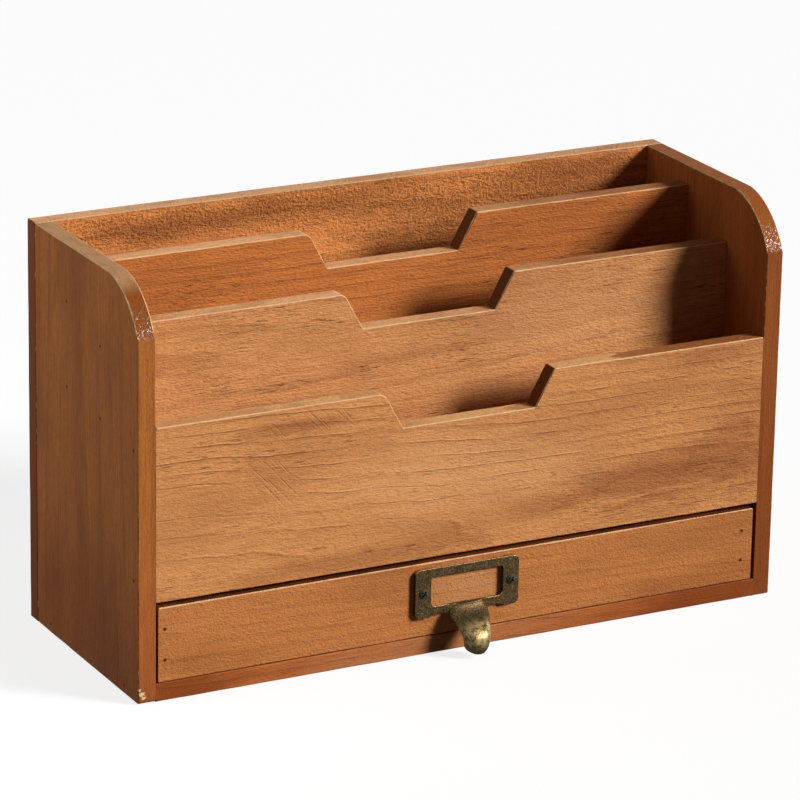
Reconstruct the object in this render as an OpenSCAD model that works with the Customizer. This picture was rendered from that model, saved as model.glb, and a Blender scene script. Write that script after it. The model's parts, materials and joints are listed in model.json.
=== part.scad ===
// Desktop letter rack of stained pine boards: three stepped pockets over one shallow drawer.
// The origin is the middle of the carcass underside, +X to the right, +Y to the back, +Z up.

/* [Carcass] */
// Width over both side panels
case_width = 340; // [280:1:440]
// Depth from the front edges to the back face
case_depth = 125; // [116:1:170]
// Height of the side panels and the back panel
case_height = 200; // [190:1:260]
// Thickness of every carcass board
board = 9; // [7:0.5:11]
// Clear height of the drawer opening
opening_height = 39.5; // [38.5:0.5:56]

/* [Rounded corners of the sides] */
// Length of top edge that a rounded corner takes away
corner_run = 31; // [20:1:40]
// Height of front edge that a rounded corner takes away
corner_drop = 25; // [16:1:36]
// Radius of the corner curve, which meets both edges at a slight angle
corner_radius = 39; // [34:1:80]

/* [Pockets] */
// Clear depth of the front pocket
front_pocket = 28; // [18:1:32]
// Clear depth of the middle pocket
middle_pocket = 29; // [18:1:34]
// Step from the top of the sides down to the front panel
front_panel_step = 66.5; // [50:0.5:85]
// Step from the top of the sides down to the middle divider
middle_divider_step = 28.5; // [20:0.5:45]
// Step from the top of the sides down to the rear divider
rear_divider_step = 9.5; // [4:0.5:18]

/* [Finger notches] */
// Width of a notch at the top of its board
notch_top_width = 90; // [76:1:120]
// Width of a notch at its floor
notch_floor_width = 70; // [40:1:74]
// Depth of a notch
notch_depth = 18; // [10:0.5:26]
// Radius of the upper left corner of a notch
notch_round_left = 5; // [1:0.5:8]
// Radius of the upper right corner of a notch
notch_round_right = 1.5; // [0.5:0.5:8]
// Sideways shift of the notch in the front panel
front_notch_shift = 0.5; // [-5:0.5:5]
// Sideways shift of the notches in the two dividers
divider_notch_shift = -2; // [-5:0.5:5]

/* [Drawer] */
// Thickness of the drawer front
drawer_front_board = 9; // [7:0.5:12]
// Thickness of the drawer sides and back
drawer_wall = 7; // [5:0.5:9]
// Thickness of the drawer's plywood bottom
drawer_floor = 3; // [2:0.5:4]
// Step from the top of the drawer front down to the drawer walls
drawer_wall_step = 3; // [0.5:0.5:8]
// Running gap at each end of the drawer
drawer_side_gap = 1; // [0.5:0.1:2]
// Shortening of the drawer front at its right-hand end
drawer_front_trim = 0.8; // [0:0.1:1.5]
// Shortening of the drawer box behind the right-hand end of the drawer front
drawer_box_trim = 3.5; // [0:0.5:5]
// Gap above the drawer front
drawer_top_gap = 2.4; // [1:0.1:3.2]
// Gap under the drawer, which slides on the bottom board
drawer_slide_gap = 0.3; // [0.2:0.1:0.8]
// Gap behind the drawer when it is shut
drawer_back_gap = 0.5; // [0.3:0.1:3]

/* [Label frame] */
// Width of the frame plate
plate_width = 55.5; // [53:0.5:70]
// Height of the frame plate
plate_height = 24.8; // [23:0.2:25.6]
// Height of the plate above the lower edge of the drawer front
plate_rise = 9.7; // [9:0.1:10.2]
// Distance from the drawer front to the face of the plate
plate_stand = 2.4; // [2:0.1:3.4]
// Radius of the plate corners
plate_corner = 3; // [1:0.5:5]
// Width of the label window
window_width = 38.5; // [30:0.5:41]
// Height of the label window
window_height = 14.8; // [10:0.2:16]
// Height of the rail under the label window
lower_rail = 5.5; // [4.5:0.1:6.5]
// Radius of the upper corners of the window
window_high_corner = 1; // [0.5:0.5:4]
// Radius of the lower corners of the window
window_low_corner = 2.5; // [0.5:0.5:4]
// Depth of the card slot behind the window
card_slot = 1.2; // [0.6:0.1:1.4]
// Overlap of the card slot past the sides and the floor of the window
card_overlap = 1.5; // [0.8:0.1:1.8]
// Width of the ears at the lower corners of the plate
ear_width = 7.5; // [5:0.5:9]
// Length of the ramp from an ear up to the lower rail
ear_ramp = 2.5; // [1:0.5:4]
// Drop of the ears below the lower rail
ear_drop = 1.4; // [0.6:0.1:2]

/* [Pull tongue] */
// Distance from the drawer front to the face of the tongue
tongue_reach = 17.2; // [10:0.2:20]
// Drop of the tip below the plate
tongue_drop = 16.5; // [12:0.5:18]
// Width of the tongue where it leaves the lower rail
tongue_root_width = 22.5; // [16:0.5:26]
// Width of the tongue just above its rounded tip
tongue_tip_width = 13.6; // [11:0.2:15]
// Thickness of the tongue
tongue_wall = 2; // [1.6:0.1:2.2]
// Height of the crown across the tongue
tongue_crown = 4.5; // [2.5:0.1:5.5]
// Ledge of the tongue over the face of the plate
tongue_ledge = 1; // [0.6:0.1:1.4]
// Step from the window down to the ledge, and depth of the root in the plate
tongue_root = 0.4; // [0.2:0.1:0.8]

/* [Fasteners] */
// Diameter of a brad
brad_diameter = 1; // [0.8:0.1:1.3]
// Diameter of a brad head
brad_head = 1.6; // [1.5:0.1:2.4]
// Thickness of a brad head
brad_head_height = 0.6; // [0.4:0.1:1]
// Length of the brads that hold the boards
brad_length = 22; // [16:1:26]
// Length of the tacks that hold the drawer bottom
tack_length = 12; // [8:1:14]
// Depth of a brad head below the wood surface
brad_set = 0.2; // [0.1:0.1:0.6]
// Distance between the two pull screws
screw_spacing = 46.9; // [46:0.1:48]
// Diameter of a pull screw
screw_diameter = 2.8; // [2:0.1:3]
// Length of a pull screw under its head
screw_length = 10; // [7:0.5:11]
// Diameter of a pull screw head
screw_head = 5.4; // [4:0.2:6]
// Height of a pull screw head
screw_head_height = 1.2; // [0.9:0.1:2.2]
// Radial clearance of brads and screws in their holes
hole_clearance = 0.05; // [0.03:0.01:0.1]

/* [Hidden] */
$fn = 48;
corner_facets = 96;
over = 1;

// Carcass planes
front_y = -case_depth / 2;
back_y = case_depth / 2;
inner_back_y = back_y - board;
inner_width = case_width - 2 * board;
side_depth = case_depth - board;
opening_top = board + opening_height;
floor_top = opening_top + board;
front_panel_top = case_height - front_panel_step;
middle_divider_top = case_height - middle_divider_step;
rear_divider_top = case_height - rear_divider_step;
middle_divider_y = front_y + board + front_pocket;
rear_divider_y = middle_divider_y + board + middle_pocket;

// Rounded corner of a side: the arc through its two ends, in depth and height
corner_low = [0, case_height - corner_drop];
corner_high = [corner_run, case_height];
corner_chord = norm(corner_high - corner_low);
corner_rise = sqrt(corner_radius * corner_radius - corner_chord * corner_chord / 4);
corner_inward = [corner_drop, -corner_run] / corner_chord;
corner_centre = (corner_low + corner_high) / 2 + corner_rise * corner_inward;

// Notch flank
notch_flank = (notch_top_width - notch_floor_width) / 2;
notch_angle = atan2(notch_depth, notch_flank);

// Drawer planes
drawer_width = inner_width - 2 * drawer_side_gap;
drawer_base = board + drawer_slide_gap;
drawer_top = opening_top - drawer_top_gap;
drawer_wall_base = drawer_base + drawer_floor;
drawer_wall_top = drawer_top - drawer_wall_step;
drawer_wall_height = drawer_wall_top - drawer_wall_base;
drawer_wall_front = front_y + drawer_front_board;
drawer_end = inner_back_y - drawer_back_gap;
drawer_side_length = drawer_end - drawer_wall_front;
drawer_box_width = drawer_width - drawer_box_trim;
drawer_wall_x = (drawer_box_width - drawer_wall) / 2;

// Label frame planes
plate_base = drawer_base + plate_rise;
window_base = plate_base + lower_rail;
screw_z = window_base + window_height / 2;

// Brad sites: distances of each brad from the top of its divider and from the ends of the other boards
rear_brad_drops = [18.5, 60];
middle_brad_drops = [10, 45];
front_brad_inset = 11;
base_brad_inset = 15.5;
back_brad_inset = 60;
side_edge_brad_inset = 32;
drawer_brad_inset = 7.8;
tack_inset = 26;

front_sites = [
    [front_y + board / 2, front_panel_top - front_brad_inset],
    [front_y + board / 2, opening_top + front_brad_inset]
];
middle_sites = [for (drop = middle_brad_drops) [middle_divider_y + board / 2, middle_divider_top - drop]];
rear_sites = [for (drop = rear_brad_drops) [rear_divider_y + board / 2, rear_divider_top - drop]];
base_sites = [for (y = [front_y + base_brad_inset, inner_back_y - base_brad_inset]) [y, board / 2]];
side_sites = concat(front_sites, middle_sites, rear_sites, base_sites);

back_brad_x = inner_width / 2 - back_brad_inset;
side_edge_x = (case_width - board) / 2;
back_floor_sites = [for (x = [-back_brad_x, 0, back_brad_x]) [x, opening_top + board / 2]];
back_base_sites = [for (x = [-back_brad_x, 0, back_brad_x]) [x, board / 2]];
back_edge_heights = [side_edge_brad_inset, case_height / 2, case_height - side_edge_brad_inset];
back_left_sites = [for (z = back_edge_heights) [-side_edge_x, z]];
back_right_sites = [for (z = back_edge_heights) [side_edge_x, z]];
back_sites = concat(back_floor_sites, back_base_sites, back_left_sites, back_right_sites);

drawer_brad_heights = [drawer_wall_base + drawer_brad_inset, drawer_wall_top - drawer_brad_inset];
drawer_left_sites = [for (z = drawer_brad_heights) [-drawer_wall_x, z]];
drawer_right_sites = [for (z = drawer_brad_heights) [drawer_wall_x, z]];
drawer_front_sites = concat(drawer_left_sites, drawer_right_sites);
drawer_back_sites = [for (z = drawer_brad_heights) [drawer_end - drawer_wall / 2, z]];
tack_rows = [drawer_wall_front + tack_inset, drawer_end - tack_inset];
tack_left_sites = [for (y = tack_rows) [-drawer_wall_x, y]];
tack_right_sites = [for (y = tack_rows) [drawer_wall_x, y]];
tack_back_sites = [for (x = [-back_brad_x, 0, back_brad_x]) [x, drawer_end - drawer_wall / 2]];
tack_sites = concat(tack_left_sites, tack_right_sites, tack_back_sites);

// Share of a shank that is left at its point, and shares of a screw head that its cross takes
point_share = 0.25;
cross_length_share = 0.6;
cross_width_share = 0.15;
cross_depth_share = 0.6;

// Turn of the cross in a screw head
cross_turn = 35;

// Stain and metal colours
face_stain = "#c08148";
edge_stain = "#a9673a";
dark_stain = "#8a5530";
raw_ply = "#c9a070";
old_brass = "#6a5a36";
black_steel = "#33302c";

// Fasteners: each points along +Z from the surface at z = 0

module brad(length) {
    point = brad_diameter;
    translate([0, 0, brad_set]) cylinder(d = brad_head, h = brad_head_height);
    translate([0, 0, brad_set]) cylinder(d = brad_diameter, h = length - brad_set - point);
    translate([0, 0, length - point]) cylinder(d1 = brad_diameter, d2 = brad_diameter * point_share, h = point);
}

module brad_hole(length) {
    head_depth = brad_set + brad_head_height + hole_clearance;
    translate([0, 0, -over]) cylinder(d = brad_head + 2 * hole_clearance, h = over + head_depth);
    cylinder(d = brad_diameter + 2 * hole_clearance, h = length + hole_clearance);
}

module from_left(sites, face_x) {
    for (site = sites) translate([face_x, site[0], site[1]]) rotate([0, 90, 0]) children();
}

module from_both_ends(sites, face_x) {
    from_left(sites, face_x) children();
    mirror([1, 0, 0]) from_left(sites, face_x) children();
}

module from_back(sites) {
    for (site = sites) translate([site[0], back_y, site[1]]) rotate([90, 0, 0]) children();
}

module from_front(sites) {
    for (site = sites) translate([site[0], front_y, site[1]]) rotate([-90, 0, 0]) children();
}

module from_below(sites) {
    for (site = sites) translate([site[0], site[1], drawer_base]) children();
}

// Carcass boards

module side_outline() {
    difference() {
        square([side_depth, case_height]);
        difference() {
            polygon([
                corner_low, [-over, corner_low[1]], [-over, case_height + over],
                [corner_run, case_height + over], corner_high
            ]);
            translate(corner_centre) circle(corner_radius, $fn = corner_facets);
        }
    }
}

module side_panel() {
    difference() {
        translate([-case_width / 2, front_y, 0]) rotate([90, 0, 90]) linear_extrude(board) side_outline();
        from_left(side_sites, -case_width / 2) brad_hole(brad_length);
        from_back(back_left_sites) brad_hole(brad_length);
    }
}

module left_side_panel() {
    color(dark_stain) side_panel();
}

module right_side_panel() {
    color(dark_stain) mirror([1, 0, 0]) side_panel();
}

module back_panel() {
    color(face_stain) difference() {
        translate([-case_width / 2, inner_back_y, 0]) cube([case_width, board, case_height]);
        from_back(back_sites) brad_hole(brad_length);
    }
}

module bottom_board() {
    color(edge_stain) difference() {
        translate([-inner_width / 2, front_y, 0]) cube([inner_width, side_depth, board]);
        from_both_ends(base_sites, -case_width / 2) brad_hole(brad_length);
        from_back(back_base_sites) brad_hole(brad_length);
    }
}

module pocket_floor() {
    depth = side_depth - board;
    color(face_stain) difference() {
        translate([-inner_width / 2, front_y + board, opening_top]) cube([inner_width, depth, board]);
        from_back(back_floor_sites) brad_hole(brad_length);
    }
}

// Rounding of one upper notch corner, on the right-hand side of the notch
module notch_lip(radius) {
    reach = radius * tan(notch_angle / 2);
    corner = [notch_top_width / 2, 0];
    top_end = corner + [reach, 0];
    flank_end = corner - reach * [cos(notch_angle), sin(notch_angle)];
    difference() {
        polygon([top_end, top_end + [0, over], [flank_end[0], over], flank_end]);
        translate(top_end - [0, radius]) circle(radius);
    }
}

// Finger notch, measured from the middle of the upper edge of its board
module notch() {
    spread = notch_top_width / 2 + over * notch_flank / notch_depth;
    floor_half = notch_floor_width / 2;
    polygon([[-floor_half, -notch_depth], [floor_half, -notch_depth], [spread, over], [-spread, over]]);
    notch_lip(notch_round_right);
    mirror([1, 0]) notch_lip(notch_round_left);
}

module notched_board(face_y, base, top, notch_shift, sites) {
    height = top - base;
    difference() {
        translate([0, face_y + board, base]) rotate([90, 0, 0]) linear_extrude(board) difference() {
            translate([-inner_width / 2, 0]) square([inner_width, height]);
            translate([notch_shift, height]) notch();
        }
        from_both_ends(sites, -case_width / 2) brad_hole(brad_length);
    }
}

module front_panel() {
    color(face_stain)
        notched_board(front_y, opening_top, front_panel_top, front_notch_shift, front_sites);
}

module middle_divider() {
    color(face_stain)
        notched_board(middle_divider_y, floor_top, middle_divider_top, divider_notch_shift, middle_sites);
}

module rear_divider() {
    color(face_stain)
        notched_board(rear_divider_y, floor_top, rear_divider_top, divider_notch_shift, rear_sites);
}

module left_side_brads() {
    color(black_steel) from_left(side_sites, -case_width / 2) brad(brad_length);
}

module right_side_brads() {
    color(black_steel) mirror([1, 0, 0]) from_left(side_sites, -case_width / 2) brad(brad_length);
}

module back_panel_brads() {
    color(black_steel) from_back(back_sites) brad(brad_length);
}

// Drawer boards: the box is drawn about its own middle and shifted to the left-hand end of the front

module drawer_box() {
    translate([-drawer_box_trim / 2, 0, 0]) children();
}

module drawer_front() {
    color(face_stain) difference() {
        translate([-drawer_width / 2, front_y, drawer_base])
            cube([drawer_width - drawer_front_trim, drawer_front_board, drawer_top - drawer_base]);
        drawer_box() from_front(drawer_front_sites) brad_hole(brad_length);
        pull_screw_sites() screw_hole();
    }
}

module drawer_side() {
    difference() {
        translate([-drawer_box_width / 2, drawer_wall_front, drawer_wall_base])
            cube([drawer_wall, drawer_side_length, drawer_wall_height]);
        from_front(drawer_left_sites) brad_hole(brad_length);
        from_left(drawer_back_sites, -drawer_box_width / 2) brad_hole(brad_length);
        from_below(tack_left_sites) brad_hole(tack_length);
    }
}

module drawer_left_side() {
    color(edge_stain) drawer_box() drawer_side();
}

module drawer_right_side() {
    color(edge_stain) drawer_box() mirror([1, 0, 0]) drawer_side();
}

module drawer_back() {
    length = drawer_box_width - 2 * drawer_wall;
    color(edge_stain) drawer_box() difference() {
        translate([-length / 2, drawer_end - drawer_wall, drawer_wall_base])
            cube([length, drawer_wall, drawer_wall_height]);
        from_both_ends(drawer_back_sites, -drawer_box_width / 2) brad_hole(brad_length);
        from_below(tack_back_sites) brad_hole(tack_length);
    }
}

module drawer_bottom() {
    color(raw_ply) drawer_box() difference() {
        translate([-drawer_box_width / 2, drawer_wall_front, drawer_base])
            cube([drawer_box_width, drawer_side_length, drawer_floor]);
        from_below(tack_sites) brad_hole(tack_length);
    }
}

module drawer_front_brads() {
    color(black_steel) drawer_box() from_front(drawer_front_sites) brad(brad_length);
}

module drawer_back_brads() {
    color(black_steel) drawer_box() from_both_ends(drawer_back_sites, -drawer_box_width / 2) brad(brad_length);
}

module drawer_bottom_tacks() {
    color(black_steel) drawer_box() from_below(tack_sites) brad(tack_length);
}

// Label frame with its pull tongue, one casting

module soft_rectangle(width, height, low_radius, high_radius) {
    middle_height = height - low_radius - high_radius;
    translate([low_radius - width / 2, 0]) square([width - 2 * low_radius, low_radius]);
    translate([-width / 2, low_radius]) square([width, middle_height]);
    translate([high_radius - width / 2, height - high_radius]) square([width - 2 * high_radius, high_radius]);
    for (side = [-1, 1]) {
        translate([side * (width / 2 - low_radius), low_radius]) circle(low_radius);
        translate([side * (width / 2 - high_radius), height - high_radius]) circle(high_radius);
    }
}

module plate_outline() {
    relief_half = plate_width / 2 - ear_width;
    rail_half = relief_half - ear_ramp;
    difference() {
        soft_rectangle(plate_width, plate_height, plate_corner, plate_corner);
        polygon([
            [-relief_half, -over], [relief_half, -over], [relief_half, 0],
            [rail_half, ear_drop], [-rail_half, ear_drop], [-relief_half, 0]
        ]);
        translate([0, lower_rail])
            soft_rectangle(window_width, window_height, window_low_corner, window_high_corner);
    }
}

module label_plate() {
    slot_width = window_width + 2 * card_overlap;
    slot_base = window_base - card_overlap;
    slot_height = plate_base + plate_height + over - slot_base;
    difference() {
        translate([0, front_y, plate_base]) rotate([90, 0, 0]) linear_extrude(plate_stand) plate_outline();
        translate([-slot_width / 2, front_y - card_slot, slot_base])
            cube([slot_width, card_slot + over, slot_height]);
        pull_screw_sites() screw_hole();
    }
}

// Tongue: level slices from the window's lower edge, at share 0, to the tip, at share 1.
// Each slice is a crescent between an outer and an inner half ellipse.
tongue_top = window_base - tongue_root;
tongue_height = lower_rail + tongue_drop - tongue_root;
tongue_slices = 24;
tongue_steps = 16;
bend_share = 0.66;
root_share = (lower_rail - tongue_root) / tongue_height;
nose_share = 0.8;
root_narrowing = 0.28;
nose_cut = 0.85;

function ease(t) = t * t * (3 - 2 * t);

function eased(share, end) = ease(min(1, share / end));

function tongue_face(share) =
    plate_stand + tongue_ledge
    + (tongue_reach - plate_stand - tongue_ledge) * eased(share, bend_share);

function tongue_bulge(share) =
    tongue_ledge + tongue_root + (tongue_crown - tongue_ledge) * eased(share, bend_share);

function nose(share) =
    let (past = max(0, (share - nose_share) / (1 - nose_share)))
    sqrt(1 - nose_cut * past * past);

function tongue_half(share) =
    let (taper = tongue_tip_width + (tongue_root_width - tongue_tip_width) * (1 - eased(share, nose_share)))
    let (neck = 1 - root_narrowing * (1 - eased(share, root_share)))
    taper / 2 * neck * nose(share);

function tongue_slice(share) =
    let (face = tongue_face(share))
    let (half = tongue_half(share))
    let (edge = face - tongue_bulge(share) * nose(share))
    let (z = tongue_top - share * tongue_height)
    let (inner_face = face - tongue_wall)
    let (inner_half = half - tongue_wall)
    let (turns = [for (i = [0:tongue_steps]) 180 * i / tongue_steps])
    concat(
        [for (a = turns) [half * cos(a), front_y - edge - (face - edge) * sin(a), z]],
        [for (a = turns) [-inner_half * cos(a), front_y - edge - (inner_face - edge) * sin(a), z]]
    );

module tongue() {
    ring = 2 * (tongue_steps + 1);
    last = tongue_slices * ring;
    points = [for (k = [0:tongue_slices]) each tongue_slice(k / tongue_slices)];
    walls = [
        for (k = [0:tongue_slices - 1]) for (j = [0:ring - 1])
        let (a = k * ring + j, b = k * ring + (j + 1) % ring)
        each [[a, b + ring, b], [a, a + ring, b + ring]]
    ];
    top_cap = [
        for (i = [0:tongue_steps - 1])
        let (c = ring - 1 - i)
        each [[i, i + 1, c], [i + 1, c - 1, c]]
    ];
    tip_cap = [
        for (i = [0:tongue_steps - 1])
        let (a = last + i, c = last + ring - 1 - i)
        each [[a, c, a + 1], [a + 1, c, c - 1]]
    ];
    polyhedron(points, concat(walls, top_cap, tip_cap));
}

module label_frame_pull() {
    color(old_brass) union() {
        label_plate();
        tongue();
    }
}

// Pull screws: each points along +Z from the face of the plate

module pull_screw_sites() {
    for (x = [-screw_spacing / 2, screw_spacing / 2])
        translate([x, front_y - plate_stand, screw_z]) rotate([-90, 0, 0]) children();
}

module screw_hole() {
    translate([0, 0, -over])
        cylinder(d = screw_diameter + 2 * hole_clearance, h = over + screw_length + hole_clearance);
}

// Crosshead screw with a domed head
module screw() {
    slot_length = screw_head * cross_length_share;
    slot_width = screw_head * cross_width_share;
    slot_depth = screw_head_height * cross_depth_share;
    dome = (screw_head * screw_head / 4 + screw_head_height * screw_head_height) / (2 * screw_head_height);
    difference() {
        intersection() {
            translate([0, 0, -screw_head_height]) cylinder(d = screw_head, h = screw_head_height);
            translate([0, 0, dome - screw_head_height]) sphere(dome);
        }
        for (turn = [cross_turn, cross_turn + 90])
            rotate([0, 0, turn])
                translate([-slot_length / 2, -slot_width / 2, -screw_head_height - over])
                    cube([slot_length, slot_width, over + slot_depth]);
    }
    cylinder(d = screw_diameter, h = screw_length - screw_diameter);
    translate([0, 0, screw_length - screw_diameter])
        cylinder(d1 = screw_diameter, d2 = screw_diameter * point_share, h = screw_diameter);
}

module pull_screws() {
    color(black_steel) pull_screw_sites() screw();
}

left_side_panel();
right_side_panel();
back_panel();
bottom_board();
pocket_floor();
front_panel();
middle_divider();
rear_divider();
left_side_brads();
right_side_brads();
back_panel_brads();
drawer_front();
drawer_left_side();
drawer_right_side();
drawer_back();
drawer_bottom();
drawer_front_brads();
drawer_back_brads();
drawer_bottom_tacks();
label_frame_pull();
pull_screws();
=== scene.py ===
import json
import math
from dataclasses import dataclass

import bmesh
import bpy
from mathutils import Matrix, Vector, noise


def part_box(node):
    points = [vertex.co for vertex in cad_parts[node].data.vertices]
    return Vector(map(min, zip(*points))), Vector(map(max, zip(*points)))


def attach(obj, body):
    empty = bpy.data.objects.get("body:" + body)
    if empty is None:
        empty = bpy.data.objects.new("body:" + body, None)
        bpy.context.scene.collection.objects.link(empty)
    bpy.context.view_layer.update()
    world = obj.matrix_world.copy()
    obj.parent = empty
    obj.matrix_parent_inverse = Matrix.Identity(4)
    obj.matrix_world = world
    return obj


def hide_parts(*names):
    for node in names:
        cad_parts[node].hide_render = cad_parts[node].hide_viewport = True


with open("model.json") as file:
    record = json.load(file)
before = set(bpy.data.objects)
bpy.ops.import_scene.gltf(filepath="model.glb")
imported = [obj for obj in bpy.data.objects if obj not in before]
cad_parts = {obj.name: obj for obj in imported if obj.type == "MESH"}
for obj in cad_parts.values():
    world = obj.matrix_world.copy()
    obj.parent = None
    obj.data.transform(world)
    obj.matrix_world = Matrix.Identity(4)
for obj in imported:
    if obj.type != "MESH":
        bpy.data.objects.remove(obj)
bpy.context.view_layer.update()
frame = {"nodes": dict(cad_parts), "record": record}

MM = 0.001
PER_MM = (1 / MM,) * 3
AXES = "XYZ"
FAR = 1e6

# Camera, fitted to the photograph's square frame
FRAME_PIXELS = 800
FOCAL_PIXELS = 4721.6
SENSOR_WIDTH = 36.0
CAMERA_PLACE = Vector((-1.00389, -1.89781, 0.83116))
CAMERA_AZIMUTH = -27.792
CAMERA_ELEVATION = 18.687
CAMERA_ROLL = 0.993

# Light: a key from the right front, a soft lamp from the upper left, little from elsewhere
KEY_DIRECTION = Vector((1.1, -1.0, 0.683))
KEY_STRENGTH = 4.47
KEY_ANGLE = 18.0
FILL_PLACE = Vector((-0.6, 0.15, 0.32))
FILL_AIM = Vector((-0.1, 0.0, 0.12))
FILL_SIZE = 0.4
FILL_POWER = 1.28
SKY_STRENGTH = 0.04
WHITE = (1.0, 1.0, 1.0, 1.0)
BRIGHT_RAYS = ("Is Camera Ray", "Is Glossy Ray", "Is Transmission Ray")
FLOOR_HALF = 6.0
FLOOR_DROP = 0.3 * MM
FLOOR_GLOW = 0.8
FLOOR_SHADE = 0.26
FLOOR_BOUNCE = 0.08

# Eased arrises of the boards
ARRIS = 0.7 * MM
ARRIS_PER_THICKNESS = 1 / 8
ARRIS_SWING = 0.45
ARRIS_WAVE = 14 * MM
ARRIS_STEPS = 3
END_FACING = 0.9
BUTTED = 0.15
LOOSE = 0.4
RIM_WEAR = 0.55
CORNER_STEPS = 4
LEAST_REACH = 0.03 * MM
CURVE_SHARE = 0.8
CORNER_TURN = math.radians(25)
OUTLINE_STEP = 4 * MM
FACE_BAND = 0.7 * MM
WALL_BAND = 1.6 * MM
PIT_DEPTH = 0.85 * MM
FLAT = 0.001 * MM
KEY_DIGITS = 6

# Cast pull
PULL_VOXEL = 0.22 * MM
PULL_SMOOTHING = 8
PULL_PITTING = 0.05 * MM
PULL_PIT_SIZE = 0.7 * MM


def srgb(red, green, blue):
    """A colour written as it shows on screen, from 0 to 255, as linear values."""
    def linear(value):
        share = value / 255
        if share <= 0.04045:
            return share / 12.92
        return ((share + 0.055) / 1.055) ** 2.4
    return (linear(red), linear(green), linear(blue), 1.0)


BARE_WOOD = srgb(224, 180, 130)
CHIPPED = srgb(232, 202, 158)
PORE = srgb(84, 42, 20)
STAIN = srgb(118, 50, 14)
# A pale tint; on the front panel, the middle divider and round the label window it is painted light and
# painted sheen
PALE_TINT_AND_PAINTED_LIGHT = srgb(246, 190, 136)
REDDER_TINT = srgb(226, 122, 66)
STAINED_EDGE = srgb(154, 82, 38)

PATINA_DARK = srgb(48, 36, 21)
PATINA_PALE = srgb(99, 79, 47)
PATINA_CLOUD = srgb(40, 31, 19)
TONGUE_DARK = srgb(38, 30, 17)
# Bright brass: rubbed metal, and painted highlight on the tongue's right side and the plate's upward
# edges
BRIGHT_BRASS = srgb(190, 164, 110)

# Steel: dark and pale specks, and the painted shade in hollows
STAINED_STEEL = (srgb(58, 34, 18), srgb(92, 56, 30), srgb(44, 24, 12))
BLACKENED_STEEL = (srgb(46, 43, 33), srgb(80, 75, 57), srgb(8, 7, 6))


@dataclass
class Pattern:
    """A noise: its scale per millimetre, and the values between which it is cut to run from 0 to 1."""
    scale: tuple
    rise: tuple = (0.0, 1.0)
    detail: float = 2.0
    roughness: float = 0.5


@dataclass
class Mark:
    """A soft-edged patch on a board, in millimetres along the grain, across it and through the board."""
    along: float
    across: float
    half_length: float
    half_width: float
    tilt: float = 0.0
    strength: float = 0.3
    tint: tuple = STAIN
    through: float = 0.0
    half_depth: float = FAR


@dataclass
class Wood:
    """How one board is cut from the log, stained and worn. Lengths are in millimetres."""
    axes: str                                   # along the grain, across it, through the board
    shift: tuple                                # the board's place in the log
    pale: tuple
    dark: tuple
    heart: tuple = (60.0, -90.0)                # middle of the growth rings, across and through
    ring: float = 6.0                           # width of a ring
    taper: float = 0.02                         # growth of the rings along the board
    lines: float = 0.4                          # shares of the dark colour, from lines to stain
    streaks: float = 1.0
    dots: float = 0.3
    stain: float = 0.35
    relief: float = 0.12                        # height of the ring seams
    cell: float = 0.8                           # size and stretch of the varnish texture
    stretch: float = 2.4
    peel: float = 0.25                          # height of the varnish texture
    pores: float = 0.6
    gloss: float = 0.08
    arc_gloss: float = 0.0                      # glints on a rounded corner
    end: tuple = srgb(112, 66, 36)              # colour of the end grain
    end_ease: float = 1.0                       # share of the arris at the ends
    corner: float = 0.8                         # radius of the outline's corners
    joined: tuple = (0, 0.0)                    # face that boards butt against, and up to what height
    upper: tuple = srgb(246, 184, 130)          # colour of the upper edge where it is bare; the drawer front's is painted shade for its gap
    sanding: tuple = (0.025, 0.2, 0.05)         # noise scale of the bare places there
    stain_kept: tuple = (FAR, 2 * FAR)          # from where to where, left to right, more stain is kept
    front_share: float = 0.0                    # share of the dark colour on front edges
    bare_patches: tuple = ()
    rough_patches: tuple = ()
    wear: float = 1.0
    marks: tuple = ()
    saw: tuple = ()
    chips: tuple = ()


# Growth rings: how they wander, and where late wood and its seam lie in a ring
WANDER = Pattern((0.005, 0.02, 0.02))
WANDER_REACH = 16.0
RIPPLE = Pattern((0.045, 0.1, 0.1), roughness=0.6)
RIPPLE_REACH = 2.2
MIDDLE = 0.5
LATE_WOOD = (0.5, 0.86)
RING_END = (0.88, 0.98)
RING_FADE = Pattern((0.01, 0.06, 0.06), (0.35, 0.65))
LEAST_FADE = 0.3
SEAM_START = (0.82, 0.91)
SEAM_END = (0.91, 1.0)
SEAM_BREAKS = Pattern((0.03, 0.2, 0.2), (0.4, 0.56))
SEAM_SIDE = Pattern((0.01, 0.04, 0.04), (0.36, 0.54))

# Grain, pores, stain and varnish
STREAK = Pattern((0.016, 0.8, 0.8), (0.42, 0.72), 3.0, 0.6)
STREAK_SHARE = 0.3
FIBRE = Pattern((0.06, 2.2, 2.2), (0.42, 0.7), 3.0, 0.65)
FIBRE_SHARE = 0.5
PORE_DASH = Pattern((0.12, 1.9, 1.9), (0.62, 0.7), 1.0)
PORE_CROWD = Pattern((0.02, 0.06, 0.06), (0.45, 0.6))
STAIN_CLOUD = Pattern((0.012, 0.035, 0.035), (0.38, 0.72), 3.0)
TUBES = Pattern((1.5, 1.5, 1.5), (0.45, 0.68), 3.0, 0.6)
SPECK_DETAIL = 3.0
SPECK_ROUGHNESS = 0.6
SMOOTH_SHARE = 0.3
DOTS = (0.3, 0.55)
PATCH_EDGE = Pattern((0.04, 0.2, 0.2), (0.8, 1.7), 3.0)
PATCH_RAGGED = 1.1

# Ways that a surface faces
END_GRAIN = (0.2, 0.5)
UPWARD = (0.8, 0.98)
FRONTWARD = (0.5, 0.9)
ARC_START = (0.2, 0.4)
ARC_END = (0.55, 0.8)

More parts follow.
